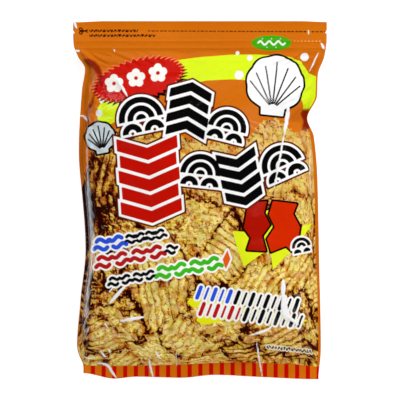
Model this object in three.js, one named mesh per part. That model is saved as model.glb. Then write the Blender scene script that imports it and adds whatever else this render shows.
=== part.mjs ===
// A filled zip pouch of printed film, lying on its back with the front panel up.
// Millimetres. X runs across the pack, Y from the bottom seal to the header, and Z up
// from the surface that it lies on. The origin is under the middle of the pack.
import * as THREE from 'three';

// Driving dimensions
const packWidth = 241; // across the flat header
const packLength = 340; // bottom edge to top edge
const bodyRise = 38; // how far the filled front panel stands above the side seams
const seamLevel = 16.5; // how high the filling holds the side seams above the floor
const filmStack = 1.0; // thickness of the sealed films at the edges
const sideSeal = 4; // width of the flat seal down each side
const bottomSeal = 13; // width of the flat seal along the bottom
const headerDepth = 29; // top edge to the foot of the zip
const halfWidth = packWidth / 2;
const halfLength = packLength / 2;
const bodyBottom = bottomSeal - halfLength;
const bodyTop = halfLength - headerDepth;

// Two pressed ribs hold the zip, measured down from the top edge
const zipRibs = [19.7, 26.3];
const zipRibHeight = 0.8;
const zipRibHalfWidth = 1.4;

// A V cut in each side edge starts the tear, measured down from the top edge
const tearNotch = { down: 10, halfHeight: 1.6, depth: 2.6 };

// The four edges: how far each stands from the pack's middle lines
const leftReach = smoothCurve([
  [-164, 110.5], [-137, 116.3], [-94, 113.4], [-47, 108.6], [48, 114.3], [104, 111.4],
  [124, 108.6], [135, 115], [148, 119.7], [164, halfWidth],
]);
const rightReach = smoothCurve([
  [-halfLength, 112.4], [-142, 114.3], [-60, 112.5], [20, 110.8], [60, 107.4], [77, 101.2],
  [98, 110.4], [118, 111.3], [136, 117.6], [152, 120], [168, halfWidth],
]);
const bottomReach = smoothCurve([
  [-111, 164.2], [-81, 169.4], [-60, 167.6], [-18, 168.6], [14, 165.9], [56, 167.8], [112, halfLength],
]);
const topReach = smoothCurve([[-119, 169], [-90, halfLength], [95, halfLength], [120, 169.2]]);

// Along the pack: the level of the seams, and how far the panels leave it in the middle
const seamHeight = smoothCurve([
  [-halfLength, 10], [-135, 14], [-60, seamLevel], [60, seamLevel], [bodyTop, 14], [halfLength, 7.5],
]);
const frontRise = smoothCurve([
  [bodyBottom, 0], [-149, 10], [-138, 21], [-122, 31], [-96, 36.5], [-50, bodyRise],
  [10, 36.5], [60, 31], [95, 23], [118, 13], [133, 4.5], [bodyTop, 0],
]);
const backDrop = smoothCurve([
  [bodyBottom, 0], [-146, 12], [-132, 18], [80, 18], [112, 11], [134, 2.5], [bodyTop, 0],
]);

// The front panel climbs from each side seam in a wall, then eases over a wide shoulder.
// The wall's share of the climb is larger on the left, where a crease tops it.
const leftWall = { width: 13, share: smoothCurve([[-150, 0.35], [-110, 0.62], [20, 0.62], [110, 0.3]]) };
const rightWall = { width: 15, share: smoothCurve([[-150, 0.3], [-90, 0.4], [70, 0.42], [120, 0.25]]) };
const shoulderWidth = 72;
const backShoulder = 44;
const wallFullness = 2.4;

// Folds in the front panel. Each is a ridge, or a valley where its height is negative.
const frontFolds = [
  { from: [-119, 143], to: [-97, 117], height: 3.0, halfWidth: 8 },
  { from: [-97, 117], to: [-106, 88], height: 2.6, halfWidth: 8 },
  { from: [-108, 60], to: [-104, -120], height: 2.4, halfWidth: 7 },
  { from: [104, 77], to: [82, 73], height: -6.5, halfWidth: 12 },
  { from: [84, 92], to: [74, 12], height: 1.8, halfWidth: 12 },
  { from: [111, 134], to: [101, 116], height: 2.2, halfWidth: 8 },
  { from: [-113, -146], to: [-80, -168], height: 2.0, halfWidth: 8 },
  { from: [-52, -140], to: [-46, -168], height: -2.2, halfWidth: 8 },
  { from: [52, -130], to: [58, -168], height: -2.4, halfWidth: 8 },
];

// The filling pushes the front panel up into low, wide mounds
const moundHeight = 0.8;
const moundPitch = 54;

// The two film faces share one grid. Its columns crowd near the side seals.
const edgeColumns = [0, sideSeal, 6, 8.5, 12, 17, 24, 33];
const middleColumns = 23;
const grid = { columns: columnPlaces(), rows: rowPlaces() };

const pouch = new THREE.Group();
const film = new THREE.Mesh(
  pouchSolid(),
  new THREE.MeshStandardMaterial({ color: 0xd8720f, roughness: 0.35, metalness: 0 }),
);
film.name = 'pouch';
pouch.add(film);

export default pouch;

// A smooth curve through [place, value] pairs that never overshoots them, level past its ends
function smoothCurve(pairs) {
  const last = pairs.length - 1;
  const steepness = (i) => (pairs[i + 1][1] - pairs[i][1]) / (pairs[i + 1][0] - pairs[i][0]);
  const slopes = pairs.map((pair, i) => {
    if (i === 0 || i === last) return 0;
    const before = steepness(i - 1);
    const after = steepness(i);
    return before * after <= 0 ? 0 : (2 * before * after) / (before + after);
  });
  return (place) => {
    if (place <= pairs[0][0]) return pairs[0][1];
    if (place >= pairs[last][0]) return pairs[last][1];
    const i = pairs.findIndex((pair, k) => k < last && place < pairs[k + 1][0]);
    const span = pairs[i + 1][0] - pairs[i][0];
    const t = (place - pairs[i][0]) / span;
    const rise = pairs[i + 1][1] - pairs[i][1];
    const bend = (1 - t) * (span * slopes[i] - rise) - t * (span * slopes[i + 1] - rise);
    return pairs[i][1] + rise * t + t * (1 - t) * bend;
  };
}

// 0 to 1 with level ends
function ease(t) {
  const s = Math.min(Math.max(t, 0), 1);
  return s * s * (3 - 2 * s);
}

// Columns as [side, distance in from that side] near the edges, and as a share of the gap between
function columnPlaces() {
  const left = edgeColumns.map((inset) => ({ inset, share: 0 }));
  const right = edgeColumns.map((inset) => ({ inset, share: 1 })).reverse();
  const middle = Array.from({ length: middleColumns }, (_, i) => ({
    inset: edgeColumns.at(-1),
    share: (i + 1) / (middleColumns + 1),
  }));
  return [...left, ...middle, ...right];
}

// Rows from the bottom edge to the top edge
function rowPlaces() {
  const seal = [-halfLength, -halfLength + bottomSeal / 2, bodyBottom];
  const slope = [-154, -151, -147, -142.5];
  const bodySteps = 36;
  const bodyStart = -137;
  const bodyEnd = 136;
  const body = Array.from(
    { length: bodySteps + 1 },
    (_, i) => bodyStart + ((bodyEnd - bodyStart) * i) / bodySteps,
  );
  const ribs = zipRibs.flatMap((down) => [-zipRibHalfWidth, 0, zipRibHalfWidth].map((d) => halfLength - down + d));
  const notch = [-1, 0, 1].map((side) => halfLength - tearNotch.down + side * tearNotch.halfHeight);
  return [...seal, ...slope, ...body, bodyTop - 1.6, ...ribs, ...notch, halfLength].sort((a, b) => a - b);
}

// Where a grid point lies in plan
function planPoint(column, row) {
  const notchShare = 1 - Math.abs(row - (halfLength - tearNotch.down)) / tearNotch.halfHeight;
  const cut = column.inset === 0 ? tearNotch.depth * Math.max(notchShare, 0) : 0;
  const left = -leftReach(row) + column.inset + cut;
  const right = rightReach(row) - column.inset - cut;
  const x = left + (right - left) * column.share;
  const nearBottom = ease((bodyBottom + 14 - row) / (bottomSeal + 14));
  const nearTop = ease((row - bodyTop) / headerDepth);
  const y = row - nearBottom * (bottomReach(x) - halfLength) + nearTop * (topReach(x) - halfLength);
  return { x, y, fromLeft: x + leftReach(row) - sideSeal, fromRight: rightReach(row) - sideSeal - x };
}

// How much of the middle's height a panel has, at a distance in from one side seal
function climb(distance, wall, row) {
  const share = wall.share(row);
  const steep = 1 - (1 - Math.min(Math.max(distance / wall.width, 0), 1)) ** wallFullness;
  return share * steep + (1 - share) * roundShoulder(distance / shoulderWidth);
}

function roundShoulder(t) {
  return Math.sin((Math.PI / 2) * Math.min(Math.max(t, 0), 1));
}

// The height that one fold adds at a point, fading out sideways and at its ends
function foldHeight(fold, x, y) {
  const dx = fold.to[0] - fold.from[0];
  const dy = fold.to[1] - fold.from[1];
  const length = Math.hypot(dx, dy);
  const along = ((x - fold.from[0]) * dx + (y - fold.from[1]) * dy) / (length * length);
  const aside = Math.abs((x - fold.from[0]) * dy - (y - fold.from[1]) * dx) / length;
  const ends = ease(Math.min(along, 1 - along) * (length / 12) + 0.5);
  return fold.height * ends * Math.max(1 - aside / fold.halfWidth, 0) ** 1.5;
}

function mounds(x, y) {
  const turn = (2 * Math.PI) / moundPitch;
  const first = Math.cos(turn * (x + 0.3 * y)) * Math.cos(turn * (0.8 * y - 0.2 * x));
  return moundHeight * (first + 0.5 * Math.cos(turn * 1.7 * (x - 0.6 * y)));
}

function zipRib(row) {
  const nearest = Math.min(...zipRibs.map((down) => Math.abs(halfLength - down - row)));
  return zipRibHeight * Math.max(1 - nearest / zipRibHalfWidth, 0);
}

function frontPoint(column, row) {
  const { x, y, fromLeft, fromRight } = planPoint(column, row);
  const across = climb(fromLeft, leftWall, row) * climb(fromRight, rightWall, row);
  const onBody = ease(Math.min(fromLeft, fromRight) / 6) * ease((row - bodyBottom) / 8);
  const folds = frontFolds.reduce((sum, fold) => sum + foldHeight(fold, x, y), 0);
  const loose = onBody * ease((bodyTop + 4 - row) / 8);
  const rib = column.inset > 0 ? zipRib(row) : 0;
  const z = seamHeight(row) + filmStack / 2 + frontRise(row) * across + loose * (folds + across * mounds(x, y));
  return [x, y, z + rib];
}

function backPoint(column, row) {
  const { x, y, fromLeft, fromRight } = planPoint(column, row);
  const across = roundShoulder(fromLeft / backShoulder) * roundShoulder(fromRight / backShoulder);
  const rib = column.inset > 0 ? zipRib(row) : 0;
  return [x, y, Math.max(seamHeight(row) - filmStack / 2 - backDrop(row) * across - rib, 0)];
}

// One closed skin: the front face, the back face, and the thin rim that joins them
function pouchSolid() {
  const { columns, rows } = grid;
  const points = [];
  for (const row of rows) for (const column of columns) points.push(...frontPoint(column, row));
  for (const row of rows) for (const column of columns) points.push(...backPoint(column, row));

  const wide = columns.length;
  const front = (r, c) => r * wide + c;
  const back = (r, c) => (rows.length + r) * wide + c;
  const faces = [];
  const quad = (a, b, c, d) => faces.push(a, b, c, a, c, d);
  for (let r = 0; r < rows.length - 1; r += 1) {
    for (let c = 0; c < wide - 1; c += 1) {
      quad(front(r, c), front(r, c + 1), front(r + 1, c + 1), front(r + 1, c));
      quad(back(r, c), back(r + 1, c), back(r + 1, c + 1), back(r, c + 1));
    }
    quad(front(r, 0), front(r + 1, 0), back(r + 1, 0), back(r, 0));
    quad(front(r + 1, wide - 1), front(r, wide - 1), back(r, wide - 1), back(r + 1, wide - 1));
  }
  const top = rows.length - 1;
  for (let c = 0; c < wide - 1; c += 1) {
    quad(front(0, c + 1), front(0, c), back(0, c), back(0, c + 1));
    quad(front(top, c), front(top, c + 1), back(top, c + 1), back(top, c));
  }

  const geometry = new THREE.BufferGeometry();
  geometry.setAttribute('position', new THREE.Float32BufferAttribute(points, 3));
  geometry.setIndex(faces);
  geometry.computeVertexNormals();
  return geometry;
}
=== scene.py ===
"""A filled zip snack pouch of glossy printed film, lying on its back on a pale floor.

The film is one closed skin: a fine front panel and a plainer back panel, joined by the thin
rim of the seals. The front carries its print as flat inks over a picture of fried pieces.
Lengths are in millimetres until a mesh is placed, with X across the pack, Y from the bottom
seal to the header, and Z up.
"""

import math

import bmesh
import bpy
import numpy as np
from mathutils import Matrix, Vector


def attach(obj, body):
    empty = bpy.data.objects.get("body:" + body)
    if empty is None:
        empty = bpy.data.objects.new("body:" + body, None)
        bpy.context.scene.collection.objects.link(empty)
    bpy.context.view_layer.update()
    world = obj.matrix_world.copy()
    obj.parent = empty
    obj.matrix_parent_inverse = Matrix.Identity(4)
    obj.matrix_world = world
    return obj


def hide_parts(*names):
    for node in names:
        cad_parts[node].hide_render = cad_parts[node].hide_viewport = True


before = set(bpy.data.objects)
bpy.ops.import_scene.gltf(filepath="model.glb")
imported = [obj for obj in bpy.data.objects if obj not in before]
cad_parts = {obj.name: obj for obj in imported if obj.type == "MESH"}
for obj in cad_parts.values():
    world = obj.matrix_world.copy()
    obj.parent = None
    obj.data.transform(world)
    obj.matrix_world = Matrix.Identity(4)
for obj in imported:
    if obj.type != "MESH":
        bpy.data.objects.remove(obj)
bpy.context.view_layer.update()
MM = 0.001
# A distance beyond everything on the pack
FAR = 99.0


def smooth_curve(pairs):
    """A curve through (place, value) pairs that never overshoots them, level past its ends."""
    places, values = np.array(pairs, float).T
    spans = np.diff(places)
    steepness = np.diff(values) / spans
    before, after = steepness[:-1], steepness[1:]
    climbing = before * after > 0
    slopes = np.zeros(len(places))
    slopes[1:-1][climbing] = (2 * before * after)[climbing] / (before + after)[climbing]

    def value_at(place):
        place = np.clip(place, places[0], places[-1])
        i = np.clip(np.searchsorted(places, place, side="right") - 1, 0, len(spans) - 1)
        t = (place - places[i]) / spans[i]
        rise = values[i + 1] - values[i]
        bend = (1 - t) * (spans[i] * slopes[i] - rise) - t * (spans[i] * slopes[i + 1] - rise)
        return values[i] + rise * t + t * (1 - t) * bend

    return value_at


def ease(t):
    """0 to 1 with level ends."""
    t = np.clip(t, 0, 1)
    return t * t * (3 - 2 * t)


# The pouch's own sizes
PACK_WIDTH = 241
PACK_LENGTH = 340
HALF_WIDTH = PACK_WIDTH / 2
HALF_LENGTH = PACK_LENGTH / 2
BODY_RISE = 38
BACK_DROP = 18
SEAM_LEVEL = 16.5
LEFT_HANG = 6.5
LEFT_HANG_WIDTH = 5.5
FILM_STACK = 0.7
WRINKLED_MARGIN = 30
CALMER_ABOVE = 85
SIDE_SEAL = 4
BOTTOM_SEAL = 13
HEADER_DEPTH = 29
BODY_BOTTOM = BOTTOM_SEAL - HALF_LENGTH
BODY_TOP = HALF_LENGTH - HEADER_DEPTH
ZIP_RIBS = (19.7, 26.3)
ZIP_RIB_HALF_WIDTH = 1.4
ZIP_RIB_HEIGHT = 0.8
ZIP_RIB_INSET = 0.1
TEAR_DOWN = 10
TEAR_HALF_HEIGHT = 1.6
TEAR_DEPTH = 2.6

# The four edges: how far each stands from the pack's middle lines
left_reach = smooth_curve([
    (-164, 110.5), (-137, 116.3), (-94, 113.4), (-47, 108.6), (48, 114.3), (104, 111.4),
    (124, 108.6), (135, 115), (148, 119.7), (164, HALF_WIDTH),
])
right_reach = smooth_curve([
    (-HALF_LENGTH, 112.4), (-142, 114.3), (-60, 112.5), (20, 110.8), (60, 107.4), (77, 101.2),
    (98, 110.4), (118, 111.3), (136, 117.6), (152, 120), (168, HALF_WIDTH),
])
bottom_reach = smooth_curve([
    (-111, 164.2), (-81, 169.4), (-60, 167.6), (-18, 168.6), (14, 165.9), (56, 167.8),
    (112, HALF_LENGTH),
])
top_reach = smooth_curve([(-119, 169), (-90, HALF_LENGTH), (95, HALF_LENGTH), (120, 169.2)])
MEAN_SIDE_REACH = 113
# How much the rows of the sheet follow the two end edges
bottom_sway = smooth_curve([(-HALF_LENGTH, 1), (BODY_BOTTOM + 14, 0)])
top_sway = smooth_curve([(BODY_TOP, 0), (HALF_LENGTH, 1)])

# Along the pack: the level of the seams, how far the left one hangs down under the full side,
# and how far the panels leave the seams' level in the middle
seam_height = smooth_curve([
    (-HALF_LENGTH, 10), (-135, 14), (-60, SEAM_LEVEL), (60, SEAM_LEVEL), (BODY_TOP, 14),
    (HALF_LENGTH, 7.5),
])
left_hang = smooth_curve([(-140, 0), (-100, LEFT_HANG), (5, LEFT_HANG), (40, 0)])
front_rise = smooth_curve([
    (BODY_BOTTOM, 0), (-149, 10), (-138, 21), (-122, 31), (-96, 36.5), (-50, BODY_RISE),
    (10, 36.5), (60, 31), (95, 23), (118, 13), (133, 4.5), (BODY_TOP, 0),
])
back_drop = smooth_curve([
    (BODY_BOTTOM, 0), (-146, 12), (-132, BACK_DROP), (80, BACK_DROP), (112, 11), (134, 2.5),
    (BODY_TOP, 0),
])

# The front panel climbs from each side seam in a wall, then eases over a wide shoulder
LEFT_WALL = 13
RIGHT_WALL = 15
left_wall_share = smooth_curve([(-150, 0.35), (-110, 0.62), (20, 0.62), (110, 0.3)])
right_wall_share = smooth_curve([(-150, 0.3), (-90, 0.4), (70, 0.42), (120, 0.25)])
SHOULDER_WIDTH = 72
BACK_SHOULDER = 44
WALL_FULLNESS = 2.4

# Broad folds in the front panel: start, end, height (a valley where negative), half width
FRONT_FOLDS = [
    ((-119, 143), (-97, 117), 5.0, 9),
    ((-97, 117), (-106, 88), 4.0, 9),
    ((-108, 60), (-104, -120), 2.4, 7),
    ((106, 77), (84, 74), -6, 11),
    ((84, 92), (74, 12), 1.8, 12),
    ((111, 134), (101, 116), 2.2, 8),
    ((-113, -146), (-80, -168), 2.0, 8),
    ((-52, -140), (-46, -168), -2.2, 8),
    ((52, -130), (58, -168), -2.4, 8),
]

# Sharp creases in the film itself: the points along each, its height, its half width, and how far to each
# side of its crest a white highlight is painted
CREASES = [
    ([(-80, 115.5), (-74.5, 108), (-67, 95.5)], 1.9, 4.2, 1.3),
    ([(82, 89.5), (81, 75.5), (78, 62)], 1.4, 6.5, 2.0),
    ([(80, 68.5), (76.5, 54.5), (74, 40.5), (71, 26), (68, 9)], 2.0, 4.6, 0.9),
    ([(-68, -78), (-75.5, -86.5), (-84, -96)], 2.1, 5, 1.5),
    ([(-80, -80), (-84, -85.5)], 1.2, 3.4, 0.7),
    ([(-74.5, -112), (-63.5, -109.5), (-50.5, -107.5)], 2.6, 4.6, 1.6),
    ([(76.5, -72.5), (76.5, -81), (76.5, -90.5)], 1.2, 6.5, 2.2),
    ([(76.5, -86.5), (77.5, -98.5), (79.5, -112)], 2.0, 9, 3.0),
    ([(78.5, -105.5), (84.5, -110.5), (92, -116.5)], 1.2, 5, 1.6),
    ([(68.5, -111.5), (65, -118.5), (58, -121.5), (45, -125)], 1.2, 4, 1.1),
    ([(52, -129.5), (55.5, -148.5), (59.5, -170)], 2.2, 3.4, 0.8),
    ([(-111, -148), (-97.5, -150.5)], 1.4, 3, 0.7),
    ([(-97.5, -154.5), (-91, -155), (-86, -157.5), (-83.5, -163), (-78, -170.5)], 2.0, 3.6, 1.3),
    ([(-93.5, -141.5), (-88.5, -148)], 1.4, 3.2, 0.9),
    ([(-85.5, -137), (-84.5, -144)], 1.4, 3, 0.8),
    ([(-89, -113), (-84.5, -119)], 1.4, 3, 0.8),
    ([(-48.5, -148.5), (-47, -158.5), (-44, -170)], 2.0, 3.2, 1.0),
    ([(-42.5, -139.5), (-36, -150.5)], 1.6, 3.2, 0.8),
    ([(-22.5, -138.5), (-22, -157.5)], 1.6, 3, 0.4),
    ([(-114, 79.5), (-109, 79), (-106.5, 73)], 1.6, 3.2, 0.9),
    ([(-112.5, 108.5), (-113.5, 85)], 1.0, 3, 0.3),
    ([(-114, 142), (-104, 132), (-97, 123), (-96, 110), (-104, 92)], 3.2, 6, -2),
    ([(112, 140), (108, 131), (102.5, 120.5)], 2.0, 3.6, 0.6),
    ([(104.5, 49), (103.5, 30), (103.5, 3.5)], 1.2, 3, 0.5),
    ([(-120, 170), (-117, 162.5)], 1.8, 3, 1.2),
    ([(-119, 141.5), (-113.5, 140.5)], 1.2, 3, 1.0),
    ([(-82, 143), (-80, 140)], 1.0, 2.6, 0.5),
    ([(103, 161.5), (103, 156.5)], 1.0, 2.6, 0.6),
    ([(114.5, 149), (117.5, 142)], 1.4, 3, 1.2),
]


def grid_places(stops):
    """Places along one line from (start, end, spacing) stretches that follow on."""
    places = [np.array([stops[0][0]], float)]
    for start, end, spacing in stops:
        steps = max(round(abs(end - start) / spacing), 1)
        places.append(np.linspace(start, end, steps + 1)[1:])
    return np.concatenate(places)


def in_fours(places):
    """The same run of places with a number of steps that divides by four."""
    steps = len(places) - 1
    even = 4 * max(round(steps / 4), 1)
    return np.interp(np.linspace(0, steps, even + 1), np.arange(steps + 1), places)


def sheet_rows(spacing):
    """Rows from the bottom edge to the top edge, closer where the panel climbs steeply."""
    return in_fours(grid_places([
        (-HALF_LENGTH, BODY_BOTTOM, spacing),
        (BODY_BOTTOM, -130, spacing * 0.75),
        (-130, BODY_TOP, spacing),
        (BODY_TOP, HALF_LENGTH, spacing * 0.9),
    ]))


def sheet_columns(spacing):
    """Columns as insets from the nearer side edge and shares of the way across."""
    edge = grid_places([
        (0, SIDE_SEAL, spacing),
        (SIDE_SEAL, 18, spacing * 0.55),
        (18, 26, spacing * 0.85),
    ])
    steps = round(2 * (MEAN_SIDE_REACH - edge[-1]) / spacing)
    middle = np.linspace(0, 1, steps + 1)[1:-1]
    insets = np.concatenate([edge, np.full(len(middle), edge[-1]), edge[::-1]])
    shares = np.concatenate([np.zeros(len(edge)), middle, np.ones(len(edge))])
    return in_fours(insets), in_fours(shares)


def plan_points(spacing):
    """Where the sheet's grid points lie in plan, as arrays with a row and a column index."""
    rows = sheet_rows(spacing)[:, None]
    insets, shares = sheet_columns(spacing)
    tear = 1 - np.abs(rows - (HALF_LENGTH - TEAR_DOWN)) / TEAR_HALF_HEIGHT
    cut = TEAR_DEPTH * np.clip(tear, 0, 1) * np.clip(1 - insets / (3 * TEAR_DEPTH), 0, 1)
    left = -left_reach(rows) + insets + cut
    right = right_reach(rows) - insets - cut
    x = left + (right - left) * shares
    up = top_sway(rows) * (top_reach(x) - HALF_LENGTH)
    down = bottom_sway(rows) * (bottom_reach(x) - HALF_LENGTH)
    return x, rows + up - down, rows + 0 * x


def side_insets(x, rows):
    """How far in from the left edge and from the right edge points lie."""
    return x + left_reach(rows), right_reach(rows) - x


def round_shoulder(t):
    return np.sin(np.pi / 2 * np.clip(t, 0, 1))


def climb(distance, wall, share):
    """How much of the middle's height a panel has at a distance in from one side seal."""
    steep = 1 - (1 - np.clip(distance / wall, 0, 1)) ** WALL_FULLNESS
    return share * steep + (1 - share) * round_shoulder(distance / SHOULDER_WIDTH)


def fold_height(x, y, start, end, height, half_width):
    """The height that one broad fold adds, fading out sideways and at its ends."""
    dx, dy = end[0] - start[0], end[1] - start[1]
    length = math.hypot(dx, dy)
    along = ((x - start[0]) * dx + (y - start[1]) * dy) / length ** 2
    aside = np.abs((x - start[0]) * dy - (y - start[1]) * dx) / length
    ends = ease(np.minimum(along, 1 - along) * (length / 12) + 0.5)
    return height * ends * np.clip(1 - aside / half_width, 0, 1) ** 1.5


def rounded(course):
    """The points of a course with its corners cut off twice."""
    for _ in range(2):
        cut = [course[0]]
        for a, b in zip(course, course[1:]):
            cut += [(t * a[0] + (1 - t) * b[0], t * a[1] + (1 - t) * b[1]) for t in (0.75, 0.25)]
        course = cut + [course[-1]]
    return np.array(course, float)


def to_segment(x, y, a, b):
    """How far along a segment the point of it nearest to each place lies, 0 to 1, and how far off."""
    dx, dy = b[0] - a[0], b[1] - a[1]
    t = np.clip(((x - a[0]) * dx + (y - a[1]) * dy) / (dx * dx + dy * dy), 0, 1)
    return t, np.hypot(x - a[0] - t * dx, y - a[1] - t * dy)


def near_crease(x, y, course, reach):
    """Which points are near a crease, how far from it, and how full it is there, 0 at its ends to 1."""
    low, high = np.min(course, axis=0) - reach, np.max(course, axis=0) + reach
    close = (x > low[0]) & (x < high[0]) & (y > low[1]) & (y < high[1])
    x, y = x[close], y[close]
    course = rounded(course)
    steps = np.linalg.norm(np.diff(course, axis=0), axis=1)
    passed = np.concatenate([[0], np.cumsum(steps)])
    nearest = np.full(x.shape, FAR)
    share = np.zeros(x.shape)
    for i, step in enumerate(steps):
        t, aside = to_segment(x, y, course[i], course[i + 1])
        share = np.where(aside < nearest, (passed[i] + t * step) / passed[-1], share)
        nearest = np.minimum(nearest, aside)
    return close, nearest, np.sin(np.pi * np.clip(share, 0, 1)) ** 0.6


def crease_height(x, y, course, height, half_width):
    """The height of one crease: steep flanks and a rounded crest."""
    close, nearest, fullness = near_crease(x, y, course, half_width)
    raised = np.zeros(x.shape)
    raised[close] = height * fullness * np.clip(1 - (nearest / half_width) ** 2, 0, 1) ** 2
    return raised


# Farther than this from its crest, no crease has a painted highlight
CREST_REACH = 5


def crease_crests(x, y):
    """The distance to the edge of the nearest painted crest highlight, which narrows to its ends."""
    painted_crest_highlights = np.full(x.shape, FAR)
    for course, _, _, white in CREASES:
        close, nearest, fullness = near_crease(x, y, course, CREST_REACH)
        painted_crest_highlights[close] = np.minimum(painted_crest_highlights[close], nearest - white * fullness)
    return painted_crest_highlights


MOUND_WAVES = np.random.default_rng(7).uniform(0, 2 * np.pi, (14, 2))


def mounds(x, y):
    """The broken pieces inside push the film up into low, uneven mounds, higher where longer."""
    total = 0 * x
    for i, (heading, phase) in enumerate(MOUND_WAVES):
        length = 26 + 4.2 * i
        ahead = x * math.cos(heading) + y * math.sin(heading)
        total += 0.007 * length * np.cos(2 * np.pi * ahead / length + phase)
    return total


def zip_rib(x, rows):
    """The rise of the zip's two ribs, which stop short of the very edge."""
    nearest = np.minimum(*[np.abs(HALF_LENGTH - down - rows) for down in ZIP_RIBS])
    inner = np.minimum(*side_insets(x, rows)) > ZIP_RIB_INSET
    return inner * ZIP_RIB_HEIGHT * np.clip(1 - nearest / ZIP_RIB_HALF_WIDTH, 0, 1)


def seam_level(x, rows):
    """The level of the seams, which hang down low on the left, under the full side."""
    from_left = x + left_reach(rows)
    return seam_height(rows) - left_hang(rows) * np.clip(1 - from_left / LEFT_HANG_WIDTH, 0, 1)


def front_heights(x, y, rows):
    """The front panel's level, with its folds, mounds, creases and zip ribs."""
    from_left, from_right = [inset - SIDE_SEAL for inset in side_insets(x, rows)]
    across = climb(from_left, LEFT_WALL, left_wall_share(rows))
    across = across * climb(from_right, RIGHT_WALL, right_wall_share(rows))
    loose = ease(np.minimum(from_left, from_right) / 6)
    loose = loose * ease((rows - BODY_BOTTOM) / 8) * ease((BODY_TOP + 4 - rows) / 8)
    folds = sum(fold_height(x, y, *fold) for fold in FRONT_FOLDS) + across * mounds(x, y)
    creases = sum(crease_height(x, y, *crease[:3]) for crease in CREASES)
    level = seam_level(x, rows) + FILM_STACK / 2 + front_rise(rows) * across + zip_rib(x, rows)
    return level + loose * folds + (0.5 + 0.5 * loose) * creases


def back_heights(x, y, rows):
    """The back panel's level: it hangs down to the floor, with the zip ribs."""
    across = 1
    for inset in side_insets(x, rows):
        across = across * round_shoulder((inset - SIDE_SEAL) / BACK_SHOULDER)
    low = seam_level(x, rows) - FILM_STACK / 2 - back_drop(rows) * across - zip_rib(x, rows)
    return np.maximum(low, 0)


def pull(points, free, first, second, rest, stiffness):
    """Moves the two ends of many film threads so that each comes nearer to its rest length."""
    span = points[second] - points[first]
    length = np.linalg.norm(span, axis=2, keepdims=True)
    shares = free[first] + free[second]
    shift = span * (length - rest) / np.maximum(length, 1e-6) * (stiffness / np.maximum(shares, 1e-6))
    points[first] += shift * free[first]
    points[second] -= shift * free[second]


def settle(target, across, along, free, reach, rounds, shift):
    """Relaxes a film whose threads are longer than the target surface, so that it wrinkles.

    It strays from the target no farther than the reach. Single threads pull hard, slanting ones
    hold the film square, and double ones keep it from folding sharply.
    """
    points = target + shift
    slanting = np.hypot(across[:-1], along[:, :-1])
    double_across = across[:, :-1] + across[:, 1:]
    double_along = along[:-1] + along[1:]
    every, but_first, but_last = slice(None), slice(1, None), slice(None, -1)
    jobs = []
    for start in range(2):
        near, far = slice(start, -1, 2), slice(start + 1, None, 2)
        jobs += [
            ((every, near), (every, far), across[:, start::2], 1.0),
            ((near, every), (far, every), along[start::2], 1.0),
            ((near, but_last), (far, but_first), slanting[start::2], 0.35),
            ((near, but_first), (far, but_last), slanting[start::2], 0.35),
        ]
    for start in range(4):
        near, far = slice(start, -2, 4), slice(start + 2, None, 4)
        jobs += [
            ((every, near), (every, far), double_across[:, start::4], 0.25),
            ((near, every), (far, every), double_along[start::4], 0.25),
        ]
    for turn in range(rounds):
        for first, second, rest, stiffness in jobs[::1 if turn % 2 else -1]:
            pull(points, free, first, second, rest[..., None], stiffness)
        moved = points - target
        far = np.linalg.norm(moved, axis=2, keepdims=True)
        moved *= np.minimum(1, reach / np.maximum(far, 1e-6)) * 0.995
        points = target + moved
    return points - target


def finer(field, rows, columns):
    """A coarse field spread over a grid with more rows and columns."""
    for axis, count in ((1, columns), (0, rows)):
        places = np.linspace(0, field.shape[axis] - 1, count)
        before = np.minimum(places.astype(int), field.shape[axis] - 2)
        share = np.expand_dims(places - before, (2, 1 - axis))
        field = field.take(before, axis) * (1 - share) + field.take(before + 1, axis) * share
    return field


def wrinkle(points, free, reach, excess):
    """Wrinkles a film sheet: first on every fourth point, then every second, then all of them."""
    across, along = [np.linalg.norm(np.diff(points, axis=axis), axis=2) for axis in (1, 0)]
    middle = along[:, along.shape[1] // 2][:, None]
    mobility = free[..., 0]
    slack = np.maximum(middle / along, 1) ** (0.8 * mobility[1:])
    along = along * slack * (1 + excess[1:] * mobility[1:])
    across = across * (1 + excess[:, 1:] * mobility[:, 1:])
    shift = None
    for stride, rounds in ((4, 160), (2, 70), (1, 24)):
        some = (slice(None, None, stride), slice(None, None, stride))
        target = points[some]
        if shift is None:
            shift = np.random.default_rng(3).normal(0, 0.5, target.shape) * free[some]
        else:
            shift = finer(shift, *target.shape[:2])
        some_across = across[::stride].reshape(target.shape[0], -1, stride).sum(axis=2)
        some_along = along[:, ::stride].reshape(-1, stride, target.shape[1]).sum(axis=1)
        shift = settle(target, some_across, some_along, free[some], reach[some], rounds, shift)
    return points + shift * (0.4, 0.4, 1)


def film_panel(spacing, heights, side, stray, slack):
    """One panel of the film: its smooth shape, its insets from the side edges, and its wrinkled shape.

    The side is 1 for the front and -1 for the back. Near the seals the film is longer by the slack,
    and strays so far from its smooth shape. It never passes the seams' level or the floor.
    """
    x, y, rows = plan_points(spacing)
    seal_level = seam_level(x, rows) + side * FILM_STACK / 2
    lowest, highest = (seal_level, FAR) if side > 0 else (0, seal_level)
    smooth = np.stack([x, y, np.clip(heights(x, y, rows), lowest, highest)], axis=2)
    inset = np.minimum(*side_insets(x, rows))
    from_end = np.minimum(rows - BODY_BOTTOM, BODY_TOP - rows)
    free = ease((inset - SIDE_SEAL) / 3) * ease(from_end / 4)
    near_seal = ease(1 - np.minimum(inset - SIDE_SEAL, from_end) / WRINKLED_MARGIN)
    near_seal = near_seal * (1 - 0.65 * ease((rows - CALMER_ABOVE) / 40))
    reach = 0.2 + stray * near_seal
    wrinkled = wrinkle(smooth, free[..., None], reach[..., None], slack * near_seal)
    wrinkled[..., 2] = np.clip(wrinkled[..., 2], lowest, highest)
    return smooth, inset, wrinkled


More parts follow.
